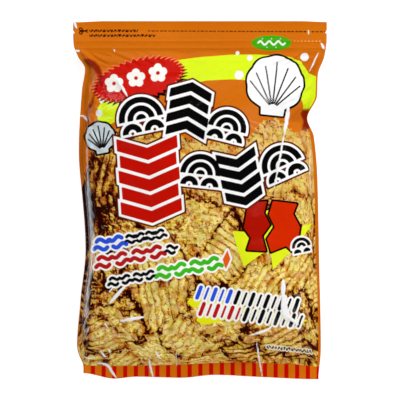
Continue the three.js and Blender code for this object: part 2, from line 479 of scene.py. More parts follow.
FRONT_SPACING = 1.05
BACK_SPACING = 3.0
flat_front, edge_inset, front_points = film_panel(FRONT_SPACING, front_heights, 1, 1.9, 0.01)
flat_back, _, back_points = film_panel(BACK_SPACING, back_heights, -1, 1.6, 0.014)


# The artwork is laid out on a board of square units, centred on the pack, with y down.
# The crown of the panel swells towards the eye, so the board swells with it.
BOARD_SIZE = 400
UNIT = 0.945
EYE_HEIGHT = 1275
EYE_LEVEL = 15
swell = (EYE_HEIGHT - EYE_LEVEL) / (EYE_HEIGHT - flat_front[..., 2])
board_x = BOARD_SIZE / 2 + flat_front[..., 0] * swell / UNIT
board_y = BOARD_SIZE / 2 - flat_front[..., 1] * swell / UNIT


def joined(*distances):
    return np.minimum.reduce(distances)


def stroke(points, radius=0):
    """Distance to the edge of a round-ended brush stroke through the points."""
    pieces = zip(points, points[1:])
    return joined(*[to_segment(board_x, board_y, a, b)[1] for a, b in pieces]) - radius


def disc(centre, radius):
    return np.hypot(board_x - centre[0], board_y - centre[1]) - radius


def patch(points):
    """Distance to the edge of a filled outline, negative inside it."""
    inside = np.zeros(board_x.shape, bool)
    closed = points + points[:1]
    for a, b in zip(closed, closed[1:]):
        if a[1] != b[1]:
            crossing = a[0] + (b[0] - a[0]) * (board_y - a[1]) / (b[1] - a[1])
            inside ^= ((a[1] > board_y) != (b[1] > board_y)) & (board_x < crossing)
    distance = stroke(closed)
    return np.where(inside, -distance, distance)


def turned(centre, across, down, tilt):
    """A board place given by offsets from a centre, turned by tilt degrees to the left."""
    c, s = math.cos(math.radians(tilt)), math.sin(math.radians(tilt))
    return centre[0] + across * c + down * s, centre[1] - across * s + down * c


def local(centre, tilt):
    """Every board place as its offsets across and down from a centre, turned by tilt degrees."""
    return turned((0, 0), board_x - centre[0], board_y - centre[1], -tilt)


def wave(centre, length, height, tilt=0, turns=1.5, steps=18):
    """Points of a wave line."""
    shares = [i / steps - 0.5 for i in range(steps + 1)]
    return [turned(centre, length * s, height * math.sin(2 * math.pi * turns * s), tilt) for s in shares]


def wave_scale(centre, size, tilt, weight, gap):
    """A wave scale: arches one inside the other, cut level at the foot."""
    across, down = local(centre, tilt)
    reach = np.hypot(across, down)
    arches = []
    while size > gap:
        hollow = size - weight if size > weight + gap else -FAR
        arches.append(np.maximum.reduce([reach - size, hollow - reach, down]))
        size -= weight + gap
    return joined(*arches)


def wave_bed(centre, size, tilt, weight, gap):
    """One large wave scale over two small ones."""
    small = (size - gap) / 2
    foot = 0.26 * size
    beds = [wave_scale(turned(centre, 0, foot, tilt), size, tilt, weight, gap)]
    for side in (-1, 1):
        middle = turned(centre, side * size / 2, foot + small + gap, tilt)
        beds.append(wave_scale(middle, small, tilt, weight, gap))
    return joined(*beds)


def feathers(centre, half_width, tilt, number, weight, gap, dip):
    """Arrow feathers: a stack of chevrons, each a pair of slanted halves, every second one narrower."""
    across, down = local(centre, tilt)
    steep = math.cos(math.atan2(dip, half_width))
    level = down + np.abs(across) * dip / half_width
    top = -0.5 * (number * (weight + gap) - gap - dip)
    shapes = []
    for i in range(number):
        aside = np.abs(across) - half_width * (1 - 0.07 * (i % 2))
        shapes.append(np.maximum(aside, np.maximum(top - level, level - top - weight) * steep))
        top += weight + gap
    return joined(*shapes)


def blossom(centre, size):
    """Five round petals about an open middle."""
    petals = [disc(turned(centre, 0, -0.58 * size, 72 * i), 0.42 * size) for i in range(5)]
    return np.maximum(joined(*petals), -disc(centre, 0.2 * size))


def sunburst(centre, half_length, half_height, tilt, teeth):
    """An ellipse with a saw-toothed edge."""
    across, down = local(centre, tilt)
    reach = np.hypot(across / half_length, down / half_height) + 1e-6
    around = np.arctan2(down / half_height, across / half_length) / (2 * np.pi) * teeth
    saw = np.abs(around % 1 - 0.5) * 2
    steepness = np.hypot(across / half_length ** 2, down / half_height ** 2) / reach
    return (reach - 1.08 + 0.19 * saw) / np.maximum(steepness, 1e-4)


def scallop_shell(centre, size, tilt):
    """A round shell with a frilled edge and a small square hinge, and its ribs."""
    def spoke(middle, length, degrees):
        turn = math.radians(degrees)
        return turned(middle, size * length * math.sin(turn), -size * length * math.cos(turn), tilt)

    frill = [
        spoke(centre, 0.97 + 0.05 * abs(math.cos(math.radians(a * 4.5))), a)
        for a in range(-138, 139, 6)
    ]
    corners = ((0.42, 0.86), (0.4, 1.12), (-0.4, 1.12), (-0.42, 0.86))
    hinge = [turned(centre, x * size, y * size, tilt) for x, y in corners]
    foot = turned(centre, 0, 0.9 * size, tilt)
    ribs = [
        stroke([spoke(foot, 0.2, a), spoke(foot, 1.68 - abs(a) / 110, a)], 0.75)
        for a in (-44, -30, -15, 0, 15, 30, 44)
    ]
    return patch(frill + hinge), joined(*ribs)


def ripples(centre, size, tilt, flip):
    """One small mark of a decorative row: two short wave lines, one over the other."""
    lines = []
    for side in (-1, 1):
        aside = (0.1 if flip else -0.1) * side * size
        middle = turned(centre, aside, 0.2 * side * size, tilt)
        line = wave(middle, 0.74 * size, 0.1 * size, tilt, turns=-1 if flip else 1)
        lines.append(stroke(line, 0.115 * size))
    return joined(*lines)


def scissors(centre):
    """A cutting mark: two finger rings and two crossed blades."""
    x, y = centre
    parts = []
    for side in (-1, 1):
        parts.append(np.abs(disc((x - 2.6, y + 1.7 * side), 1.4)) - 0.6)
        parts.append(stroke([(x - 1.6, y + side), (x + 4.2, y - 1.2 * side)], 0.6))
    return joined(*parts)


def tick_row(start, end, height, pitch):
    """A row of tiny upright strokes of uneven tilt and length."""
    number = round((end[0] - start[0]) / pitch)
    ticks = []
    for i in range(number):
        x = start[0] + i * pitch
        y = start[1] + (end[1] - start[1]) * i / number
        lean = 0.7 * math.sin(i * 2.4)
        reach = height * (0.62 + 0.38 * math.sin(i * 1.7) ** 2) / 2
        ticks.append(stroke([(x - lean, y + reach), (x + lean, y - reach)], 0.55))
    return joined(*ticks)


def dashes(first, past, pitch, length, level, fall, radius):
    """A row of short strokes from the first place to before the past one."""
    return joined(*[
        stroke([(x, level + (x - first) * fall), (x + length, level + (x - first) * fall)], radius)
        for x in np.arange(first, past, pitch)
    ])


def even_places(first, last, number):
    """Places at even steps from the first to the last."""
    shares = [i / max(number - 1, 1) for i in range(number)]
    return [(first[0] + (last[0] - first[0]) * s, first[1] + (last[1] - first[1]) * s) for s in shares]


# Rows of small marks: first centre, last centre, number, size (bars are all one size) and ink
SLATE_BLACK = (14, 14, 16)
BLUE = (36, 86, 228)
CRIMSON = (190, 22, 26)
GREEN = (62, 190, 30)
ORANGE_RED = (232, 96, 20)
RIPPLE_ROWS = [
    ((102, 244.5), (117.5, 242), 2, 18, BLUE),
    ((130.5, 239), (160, 234), 4, 13, SLATE_BLACK),
    ((104, 262), (156, 252), 4, 18, CRIMSON),
    ((171, 249.5), (172, 249.5), 1, 13, SLATE_BLACK),
    ((114, 281.5), (150, 275), 4, 13, SLATE_BLACK),
    ((164, 272), (213, 263.5), 4, 18, GREEN),
]
BAR_ROWS = [
    ((199, 292.5), (229, 296.5), 5, BLUE),
    ((237, 297.5), (296, 305.5), 9, SLATE_BLACK),
    ((202, 309), (238, 313.5), 6, CRIMSON),
    ((246, 314.5), (300, 321.5), 8, SLATE_BLACK),
]
marks = []
for first, last, number, size, ink in RIPPLE_ROWS:
    slope = math.degrees(math.atan2(first[1] - last[1], last[0] - first[0]))
    for i, centre in enumerate(even_places(first, last, number)):
        marks.append((ripples(centre, size, slope, i % 2 == 1), ink))
for first, last, number, ink in BAR_ROWS:
    for i, (x, y) in enumerate(even_places(first, last, number)):
        marks.append((stroke([(x - 2, y + 5.3), (x + 2, y - 5.3)], 1.1 if i % 2 else 1.9), ink))
marks.append((patch([(227.5, 250), (230.5, 259), (225.8, 269.5), (222.8, 259.5)]), ORANGE_RED))
marks.append((wave_bed((301, 244.5), 9.5, 12, 3.1, 1.6), SLATE_BLACK))
distances = np.array([distance for distance, _ in marks])
mark_inks = np.array([ink for _, ink in marks])[distances.argmin(axis=0)]

large_shell, large_ribs = scallop_shell((275, 84), 28, -6)
small_shell, small_ribs = scallop_shell((100, 137), 14.5, 10)
# The badge's half length, half height, tilt and number of teeth
BADGE = (46, 20, 14, 42)
OVAL = (271.5, 43)
OVAL_HALF_LENGTH = 20
OVAL_HALF_HEIGHT = 7.6
band_edge = smooth_curve([
    (82, 365.2), (100, 366), (140, 365.6), (180, 364.5), (200, 363.5), (235, 362.5), (260, 363),
    (290, 364), (318, 366.5),
])

# The plates of the print: each is the distance to the edge of what it inks, negative on the ink,
# but seal_inset is how far in from the nearer side edge the film is
plates = {
    "arch": patch([
        (104, 128), (97, 118), (98, 107), (108, 92), (125, 77), (150, 66), (178, 60.3), (200, 57),
        (231, 54.5), (256, 54.3), (276, 55.3), (291, 57.5), (301, 61.5), (308.5, 73), (318, 77.5),
        (319, 92), (314, 102), (309, 110), (304, 111), (302, 102), (298, 94), (288, 87), (255, 80.6),
        (231, 79.4), (207, 80.6), (181, 85.6), (156, 91), (140, 98), (116, 121),
    ]),
    "spots": joined(
        disc((237.5, 53), 2), disc((250, 58), 3), disc((239, 75), 4.5), disc((304.5, 57), 4.2),
        disc((102, 100), 3), disc((99, 113), 3.5),
    ),
    # Painted highlights: white lines along the crests of the creases
    "painted_crest_highlights": crease_crests(flat_front[..., 0], flat_front[..., 1]),
    # Painted shade in the folds: the pinch on the right, and the fold beside the badge and down the left
    # side
    "painted_fold_shade": joined(
        patch([
            (300.5, 114), (303.5, 109.5), (309, 108.5), (311, 118), (309.5, 128), (306, 131),
            (302, 130), (303.5, 121),
        ]),
        patch([
            (83.5, 59.5), (88, 58.5), (95, 61.5), (100, 66), (102.5, 74), (101.5, 86), (98.5, 84),
            (97, 75), (92.5, 68.5), (87.5, 64.5),
        ]),
        stroke([(97, 84), (94.5, 94), (91.5, 104), (88, 113), (86.5, 124)], 0.9),
        stroke([(90, 105), (87.5, 113), (86.5, 126)], 1.4),
    ),
    "badge": sunburst((138.5, 79.5), *BADGE),
    "badge_shade": sunburst((140.8, 82.6), *BADGE),
    "badge_light": sunburst((138, 78.6), *BADGE),
    "blossoms": joined(*[blossom(centre, 9.5) for centre in ((114, 83.5), (136, 78), (158, 73))]),
    "shells": joined(large_shell, small_shell),
    "shell_ribs": joined(large_ribs, small_ribs),
    "bold_black": joined(
        wave_bed((140, 113.5), 22.5, 12, 6, 2.6),
        feathers((188.5, 110), 21, -8, 4, 9.2, 3.6, -9),
        wave_bed((228, 124), 19.5, -14, 5.4, 2.4),
        wave_bed((201, 169), 20.5, -6, 5.6, 2.4),
        feathers((240.5, 178), 20, 12, 4, 9.2, 3.6, 9),
        wave_bed((280.5, 161), 21, 24, 5.8, 2.5),
    ),
    "bold_red": feathers((149.5, 180), 30.5, 4, 5, 12.4, 3.4, 11),
    "burst": patch([
        (232.5, 231), (237, 247), (244, 267), (255, 258.5), (267, 250.5), (271, 252.5), (273, 269.5),
        (284, 258), (296, 247), (303, 237), (313, 223), (298, 228), (285, 205), (262, 212), (248, 232),
    ]),
    "tile_dark": patch([
        (248, 203), (267, 201), (264, 213), (270, 225), (262, 236), (266, 251), (247, 250),
        (251, 238), (244, 228),
    ]),
    "tile_bright": patch([
        (273, 201), (297, 204), (293, 214), (300, 227), (296, 255), (286, 246), (271, 252),
        (267, 239), (275, 227), (269, 215),
    ]),
    "brush": joined(
        patch([(187, 302), (190, 298.5), (200, 297.5), (309, 321), (300, 323), (204, 308), (192, 307)]),
        patch([(196, 320), (199, 316.5), (209, 315.5), (242, 312), (240, 316), (210, 324), (201, 324.5)]),
    ),
    "marks": distances.min(axis=0),
    "oval": OVAL_HALF_HEIGHT * (np.hypot(
        (board_x - OVAL[0]) / OVAL_HALF_LENGTH, (board_y - OVAL[1]) / OVAL_HALF_HEIGHT) - 1),
    "oval_wave": joined(
        stroke(wave(OVAL, 27, 1.9, turns=3, steps=30), 0.95),
        *[disc((OVAL[0] + 4.5 * i, OVAL[1] + (4.3 if i % 2 else -4.3)), 0.75) for i in range(-2, 3)],
    ),
    "cut_marks": joined(
        scissors((83.5, 31)),
        tick_row((90, 30.8), (139, 30.8), 2.4, 1.75),
        tick_row((90, 35.6), (156, 35.6), 2.4, 1.75),
        dashes(148, 325, 4.1, 2.1, 31, 0.004, 0.6),
    ),
    "low_ticks": tick_row((267, 346.5), (312, 352), 3.0, 1.9),
    # Painted highlights: pale ticks for the glints on the zip's crimps
    "zip_ticks": dashes(294, 322, 3.6, 1.2, 41.2, 0, 0.45),
    "picture": patch([
        (60, 190), (80, 190), (86, 170), (92, 150), (100, 140), (112, 129), (125, 131), (160, 133),
        (200, 140), (235, 146), (243, 143), (252, 133), (262, 122), (275, 118), (284, 124),
        (290, 130), (299, 134), (304, 127), (316, 130), (340, 132), (340, 380), (60, 380),
    ]),
    "band": band_edge(board_x) - board_y,
    "seal_inset": edge_inset,
}


def lay_grid(bm, points, flip):
    """Adds a grid of faces and moves its vertices onto the points."""
    rows, columns = points.shape[:2]
    made = bmesh.ops.create_grid(bm, x_segments=columns - 1, y_segments=rows - 1, size=1)["verts"]
    for vert, place in zip(made, points.reshape(-1, 3) * MM):
        vert.co = place
    if flip:
        faces = list({face for vert in made for face in vert.link_faces})
        bmesh.ops.reverse_faces(bm, faces=faces)


def pouch_mesh():
    """The two panels, joined round their edges by the rim of the seals."""
    bm = bmesh.new()
    lay_grid(bm, front_points, flip=False)
    lay_grid(bm, back_points, flip=True)
    rims = [edge for edge in bm.edges if edge.is_boundary]
    bmesh.ops.bridge_loops(bm, edges=rims)
    for face in bm.faces:
        face.smooth = True
    mesh = bpy.data.meshes.new("pouch_film")
    bm.to_mesh(mesh)
    bm.free()
    return mesh


def put_in_scene(name, data):
    made = bpy.data.objects.new(name, data)
    bpy.context.scene.collection.objects.link(made)
    return made


mesh = pouch_mesh()
pouch = put_in_scene("pouch_film", mesh)
front_count = front_points.shape[0] * front_points.shape[1]
back_count = back_points.shape[0] * back_points.shape[1]


def screen_to_linear(ink):
    share = np.asarray(ink) / 255
    return np.where(share <= 0.04045, share / 12.92, ((share + 0.055) / 1.055) ** 2.4)


# The back film is far from everything on the plates
for name, values in plates.items():
    attribute = mesh.attributes.new(name, "FLOAT", "POINT")
    attribute.data.foreach_set("value", np.append(values, np.full(back_count, FAR)))
inks = np.ones((len(mesh.vertices), 4))
inks[:front_count, :3] = screen_to_linear(mark_inks.reshape(-1, 3))
mesh.attributes.new("mark_ink", "FLOAT_COLOR", "POINT").data.foreach_set("color", inks.ravel())

loop_verts = np.zeros(len(mesh.loops), int)
mesh.loops.foreach_get("vertex_index", loop_verts)
face_sizes = np.zeros(len(mesh.polygons), int)
mesh.polygons.foreach_get("loop_total", face_sizes)
face_of_loop = np.repeat(np.arange(len(face_sizes)), face_sizes)
on_front = loop_verts < front_count
front_corners = np.bincount(face_of_loop, on_front)
mesh.polygons.foreach_set("material_index", (front_corners == 0).astype(int))
is_rim_face = (front_corners > 0) & (front_corners < face_sizes)

# A rim face reads the maps at the front edge, so that its print carries on round the edge
map_verts = loop_verts.copy()
for loop in np.nonzero(is_rim_face[face_of_loop] & ~on_front)[0]:
    here = mesh.vertices[int(loop_verts[loop])].co
    near = [vert for vert in mesh.polygons[face_of_loop[loop]].vertices if vert < front_count]
    map_verts[loop] = min(near, key=lambda vert: (mesh.vertices[vert].co - here).length)


def store_map(name, front, back):
    """Stores a map of the film, given as a pair of arrays for each panel."""
    flat = np.concatenate([np.stack([u.ravel(), v.ravel()], axis=1) for u, v in (front, back)])
    mesh.uv_layers.new(name=name).data.foreach_set("uv", flat[map_verts].ravel())


def arc_lengths(points):
    """Distances along the film from its middle row and column, for a grid of 3-D points."""
    maps = []
    for axis in (1, 0):
        steps = np.linalg.norm(np.diff(points, axis=axis), axis=2)
        passed = np.insert(np.cumsum(steps, axis=axis), 0, 0, axis=axis)
        maps.append(passed - np.take(passed, [points.shape[axis] // 2], axis=axis))
    return maps


FRONT_SHARE = 0.74
MAP_MARGIN = 0.01


def fitted(maps, left, right):
    """A pair of maps moved and scaled evenly into one upright strip of the unit square."""
    u, v = maps
    scale = min((right - left - 2 * MAP_MARGIN) / np.ptp(u), (1 - 2 * MAP_MARGIN) / np.ptp(v))
    u = (left + right) / 2 + (u - (u.max() + u.min()) / 2) * scale
    return u, 0.5 + (v - (v.max() + v.min()) / 2) * scale


front_sheet, back_sheet = arc_lengths(flat_front), arc_lengths(flat_back)
back_layout = [0.5 - flat_back[..., i] / UNIT / BOARD_SIZE for i in (0, 1)]
store_map("OFBake", fitted(front_sheet, 0, FRONT_SHARE), fitted(back_sheet, FRONT_SHARE, 1))
back_across, back_along = [lengths / BOARD_SIZE for lengths in back_sheet]
store_map("sheet", [lengths / BOARD_SIZE for lengths in front_sheet], (back_across, back_along + 2))
store_map("layout", (board_x / BOARD_SIZE, board_y / BOARD_SIZE), back_layout)


def paint(ink):
    """An ink of three screen values as a colour for a socket. What comes out of a node stays as it is."""
    return ink if isinstance(ink, bpy.types.NodeSocket) else (*screen_to_linear(ink), 1)


class Board:
    """A node tree with short calls for the nodes that the inks are made of."""

    def __init__(self, tree):
        self.tree = tree

    def node(self, kind, inputs=(), **given):
        """A new node's outputs. What is given is a setting, or a socket where it has a capital."""
        node = self.tree.nodes.new(kind)
        sockets = dict(inputs)
        for name, value in given.items():
            if name.islower():
                setattr(node, name, value)
            else:
                sockets[name] = value
        for socket, value in sockets.items():
            self.feed(node.inputs[socket], value)
        return node.outputs

    def feed(self, socket, value):
        if isinstance(value, bpy.types.NodeSocket):
            self.tree.links.new(value, socket)
        else:
            socket.default_value = value

    def math(self, operation, *values):
        return self.node("ShaderNodeMath", enumerate(values), operation=operation)[0]

    def plus(self, a, b):
        return self.math("ADD", a, b)

    def less(self, a, b):
        return self.math("SUBTRACT", a, b)

    def times(self, a, b, added=0.0):
        """a times b, with something added."""
        return self.math("MULTIPLY_ADD", a, b, added)

    def larger(self, a, b):
        return self.math("MAXIMUM", a, b)

    def smaller(self, a, b):
        return self.math("MINIMUM", a, b)

    def off(self, value, middle):
        """How far a value is from a middle one, either way."""
        return self.math("ABSOLUTE", self.less(value, middle))

    def vector(self, operation, *values):
        output = "Value" if operation == "LENGTH" else "Vector"
        return self.node("ShaderNodeVectorMath", enumerate(values), operation=operation)[output]

    def scaled(self, vector, scale):
        return self.node("ShaderNodeVectorMath", {0: vector}, operation="SCALE", Scale=scale)["Vector"]

    def mix(self, factor, under, over, blend="MIX"):
        colours = {0: factor, 6: paint(under), 7: paint(over)}
        return self.node("ShaderNodeMix", colours, data_type="RGBA", blend_type=blend)[2]

    def blend(self, factor, low, high):
        return self.node("ShaderNodeMix", {0: factor, 2: low, 3: high}, data_type="FLOAT")[0]

    def step(self, value, low, high, start=0.0, end=1.0):
        """A smooth change from start to end while the value goes from low to high."""
        ends = {"From Min": low, "From Max": high, "To Min": start, "To Max": end}
        return self.node("ShaderNodeMapRange", ends, interpolation_type="SMOOTHSTEP", Value=value)["Result"]

    def noise(self, vector, scale, detail=2.0, roughness=0.5, output="Fac"):
        return self.node("ShaderNodeTexNoise", noise_dimensions="2D", Vector=vector, Scale=scale,
                         Detail=detail, Roughness=roughness)[output]

    def cells(self, vector, scale, feature, **given):
        return self.node("ShaderNodeTexVoronoi", voronoi_dimensions="2D", feature=feature,
                         Vector=vector, Scale=scale, **given)

    def ramp(self, value, stops):
        color = self.node("ShaderNodeValToRGB", Fac=value)["Color"]
        elements = color.node.color_ramp.elements
        while len(elements) < len(stops):
            elements.new(0.5)
        for element, (place, ink) in zip(elements, stops):
            element.position = place
            element.color = paint(ink)
        return color

    def wander(self, place, scale, reach, detail=2):
        """A shift of place that wanders smoothly, up to about half the reach either way."""
        around = self.noise(place, scale, detail, 0.55, "Color")
        return self.scaled(self.vector("SUBTRACT", around, (0.5, 0.5, 0.5)), reach)

    def split(self, vector):
        return self.node("ShaderNodeSeparateXYZ", Vector=vector)

    def channels(self, color):
        return self.node("ShaderNodeSeparateColor", Color=color)

    def join(self, x, y):
        return self.node("ShaderNodeCombineXYZ", X=x, Y=y)["Vector"]

    def stretch(self, x, x_scale, y, y_scale):
        return self.join(self.times(x, x_scale), self.times(y, y_scale))

    def plate(self, name, output="Fac"):
        return self.node("ShaderNodeAttribute", attribute_type="GEOMETRY", attribute_name=name)[output]

    def effect(self, group, **given):
        return self.node("ShaderNodeGroup", node_tree=group, **given)


class Effect(Board):
    """A shader node group with named inputs and outputs."""

    def __init__(self, name, inputs, outputs):
        super().__init__(bpy.data.node_groups.new(name, "ShaderNodeTree"))
        sockets = self.tree.interface
        for label, kind, value in inputs:
            socket = sockets.new_socket(label, in_out="INPUT", socket_type=f"NodeSocket{kind}")
            socket.default_value = value
        for label, kind in outputs:
            sockets.new_socket(label, in_out="OUTPUT", socket_type=f"NodeSocket{kind}")
        self.given = self.node("NodeGroupInput")

    def put_out(self, results):
        """Links the results to the group's outputs, in their order. Returns the group."""
        self.node("NodeGroupOutput", enumerate(results))
        return self.tree


def ink_effect():
    """Lays one ink over what is under it wherever its plate's distance is below the reach."""
    board = Effect(
        "ink over",
        [("Under", "Color", (1, 1, 1, 1)), ("Ink", "Color", (0, 0, 0, 1)),
         ("Distance", "Float", 0), ("Reach", "Float", 0)],
        [("Color", "Color")],
    )
    under, ink, distance, reach = board.given[:4]
    shown = board.step(board.less(distance, reach), 0.3, -0.3)
    return board.put_out([board.mix(shown, under, ink)])


def fried_surface_effect():
    """A bed of ragged fried pieces: rows of soft ridges on some, loose lumps on others.

    It puts out the relief, the distance to the piece's edge, and the piece's own tone and rank.
    """
    board = Effect(
        "fried surface",
        [("Vector", "Vector", (0, 0, 0)), ("Size", "Float", 50)],
        [("Height", "Float"), ("Edge", "Float"), ("Tone", "Float"), ("Rank", "Float")],
    )
    place, size = board.given[:2]
    broad = board.wander(place, 0.045, 24)
    warped = board.vector("ADD", board.vector("ADD", place, broad), board.wander(place, 0.22, 7, 3))
    scale = board.math("DIVIDE", 1, size)
    piece = board.cells(warped, scale, "F1", Randomness=0.9)
    edge = board.cells(warped, scale, "DISTANCE_TO_EDGE", Randomness=0.9)["Distance"]
    turn, rank, tone = board.channels(piece["Color"])
    # Each point's place on its own piece, turned the way the piece lies
    heart = board.scaled(piece["Position"], size)
    away = board.vector("SUBTRACT", board.vector("ADD", place, board.scaled(broad, 0.4)), heart)
    on_piece = board.node("ShaderNodeVectorRotate", rotation_type="Z_AXIS", Vector=away,
                          Angle=board.times(turn, 6.28))
    across, along, _ = board.split(on_piece["Vector"])

    sway = board.noise(board.stretch(across, 0.03, along, 0.02), 1)
    phase = board.times(across, 1 / 7, board.times(sway, 1.6))
    ridge = board.math("ABSOLUTE", board.math("SINE", board.times(phase, math.pi)))
    broken = board.noise(board.stretch(across, 0.2, along, 0.09), 1)
    ridge = board.times(board.math("POWER", ridge, 0.7), board.step(broken, 0.31, 0.5, 0.5, 1))

    lumps = board.stretch(across, 1 / 7, along, 1 / 12)
    lumps = board.vector("ADD", lumps, board.wander(place, 0.13, 2.2))
    lump = board.cells(lumps, 1, "SMOOTH_F1", Randomness=1, Smoothness=0.25)["Distance"]

    height = board.blend(board.step(rank, 0.3, 0.4), board.times(lump, -1.9, 1.3), ridge)
    height = board.plus(board.less(height, 0.5), board.noise(place, 0.22))
    height = board.times(board.noise(place, 0.9), 0.5, board.less(height, 0.25))
    return board.put_out([height, board.times(edge, size), tone, rank])


ink_over = ink_effect()
fried_surface = fried_surface_effect()


def fried_layer(board, place, size, shift):
    """One bed of fried pieces, lit from the upper right. Returns its light value and each piece's rank."""
    def look(along, up):
        moved = board.vector("ADD", place, (shift[0] + along, shift[1] + up, 0))
        return board.effect(fried_surface, Vector=moved, Size=size)

    here, lit, over = look(0, 0), look(0.9, 1), look(2.4, 3)
    value = board.times(board.less(here["Height"], lit["Height"]), 0.24, 0.325)
    value = board.times(here["Height"], 0.61, value)
    value = board.times(here["Tone"], 0.22, value)
    covered = board.step(board.less(over["Rank"], here["Rank"]), 0, 0.02, 0, -0.4)
    value = board.times(covered, board.step(here["Edge"], 11, 1), value)
    crack = board.less(here["Edge"], board.times(board.noise(place, 0.08, 1), 5.4, -1.3))
    return board.plus(value, board.step(crack, -2.2, 5.6, -0.46, 0)), here["Rank"]


class FilmBoard(Board):
    """The node tree of one printed film: its maps, and inks laid one over the other."""

    STRIPE_PITCH = 10.75

    def __init__(self, material):
        super().__init__(material.node_tree)
        self.sheet = self.whole_map("sheet")
        self.across, self.down, _ = self.split(self.whole_map("layout"))

    def whole_map(self, name):
        """A map of the film, in board units."""
        return self.scaled(self.node("ShaderNodeUVMap", uv_map=name)["UV"], BOARD_SIZE)

    def inks(self, under, layers):
        """Flat inks one over the other: each one's colour, its plate, and its reach past the plate."""
        for colour, plate, *reach in layers:
            distance = self.plate(plate) if isinstance(plate, str) else plate
            under = self.effect(ink_over, Under=under, Ink=paint(colour), Distance=distance,
                                Reach=reach[0] if reach else 0)["Color"]
        return under

    def orange(self):
        """The film's ground colour, a little uneven as printed film is."""
        return self.mix(self.noise(self.sheet, 0.02), (206, 104, 9), (217, 115, 15))

    def striped_band(self, under, band):
        """The band of upright red stripes that covers the bottom seal."""
        stripe = self.math("PINGPONG", self.less(self.across, 200.4), self.STRIPE_PITCH / 2)
        stripe = self.larger(self.less(stripe, 0.2 * self.STRIPE_PITCH), band)
        return self.inks(under, [((230, 120, 14), band), ((216, 14, 3), stripe)])

    def gloss(self, shader, colour, seal):
        """The film's shine, with a faint waviness and the fine ribs of the heat seals, where seal is 1."""
        ribs = self.times(self.math("PINGPONG", self.split(self.sheet)[1], 0.7), seal)
        waviness = self.times(self.noise(self.sheet, 0.16), 0.5, self.times(ribs, 0.12))
        waviness = self.plus(waviness, self.step(self.plate("painted_crest_highlights"), 0.5, -1.2, 0, 0.6))
        bump = self.node("ShaderNodeBump", Height=waviness, Distance=MM, Strength=0.6)
        self.feed(shader.inputs["Base Color"], colour)
        self.feed(shader.inputs["Normal"], bump["Normal"])
        shader.inputs["Roughness"].default_value = 0.14
        shader.inputs["Specular IOR Level"].default_value = 0.3


def new_material(name):
    material = bpy.data.materials.new(name)
    material.use_nodes = True
    return material, material.node_tree.nodes["Principled BSDF"]


def fried_picture(board):
    """The picture: an upper bed of fried pieces with gaps, over a darker lower bed."""
    sheet, across, down = board.sheet, board.across, board.down
    upper, rank = fried_layer(board, sheet, 44, (13, 71))
    lower, _ = fried_layer(board, sheet, 34, (171, 240))
    value = board.blend(board.step(rank, 0.12, 0.11), upper, board.less(lower, 0.2))

    # Partly a printed darkening and partly painted shade: the picture darkens towards the left side, where
    # the full side turns away from the light
    blotch = board.times(board.noise(sheet, 0.05), 40)
    left = board.step(board.plus(across, blotch), 156, 110, 0, -0.62)
    value = board.times(left, board.step(board.plus(down, blotch), 275, 235, 0.15, 1), value)
    # Parts that are lighter or darker: where each fades in and out down the pack, where it fades in across
    # the pack, and its tone. The first is painted shade on the steep left wall, which faces away from the
    # light.
    below = (400, 390)
    parts = [
        ((180, 200), (354, 338), (95, 86), -0.45),
        ((295, 325), below, (258, 205), 0.13),
        ((280, 312), below, (225, 262), -0.13),
        ((205, 222), (305, 282), (140, 165), -0.05),
    ]
    for fade_in, fade_out, aside, tone in parts:
        rows = board.times(board.step(down, *fade_in), board.step(down, *fade_out))
        value = board.times(rows, board.step(across, *aside, 0, tone), value)
    # The top of the heap is evenly lit, with shallow relief
    even = board.times(board.step(down, 232, 160, 0, 0.55), board.step(across, 130, 205))
    value = board.times(board.less(0.66, value), even, value)
    picture = board.ramp(value, [
        (0, (44, 8, 2)), (0.13, (84, 26, 8)), (0.26, (128, 66, 20)), (0.38, (174, 112, 36)),
        (0.5, (206, 148, 44)), (0.64, (222, 174, 58)), (0.8, (238, 200, 80)), (1, (252, 236, 150)),
    ])

    def patches(x, y, scale, low, high, most):
        spread = board.noise(board.vector("ADD", sheet, (x, y, 0)), scale, 3, 0.6)
        return board.step(spread, low, high, 0, most)

    # The frying has browned some places, left some yellow, and the crumbs are pink and pale in others
    lit = board.step(value, 0.3, 0.6)
    tints = [
        (board.times(even, lit), (232, 196, 120), "MIX"),
        (patches(0, 0, 0.07, 0.48, 0.64, 0.8), (216, 146, 66), "MULTIPLY"),
        (patches(0, 0, 0.3, 0.56, 0.64, 0.8), (166, 74, 44), "MULTIPLY"),
        (patches(31, 57, 0.12, 0.52, 0.68, 0.35), (236, 226, 112), "OVERLAY"),
        (board.times(patches(63, 8, 0.09, 0.5, 0.62, 0.45), lit), (212, 204, 92), "MIX"),
        (board.times(patches(91, 17, 0.13, 0.48, 0.64, 0.4), lit), (228, 192, 138), "MIX"),
    ]
    for spread, tint, blend in tints:
        picture = board.mix(spread, picture, tint, blend)
    return picture


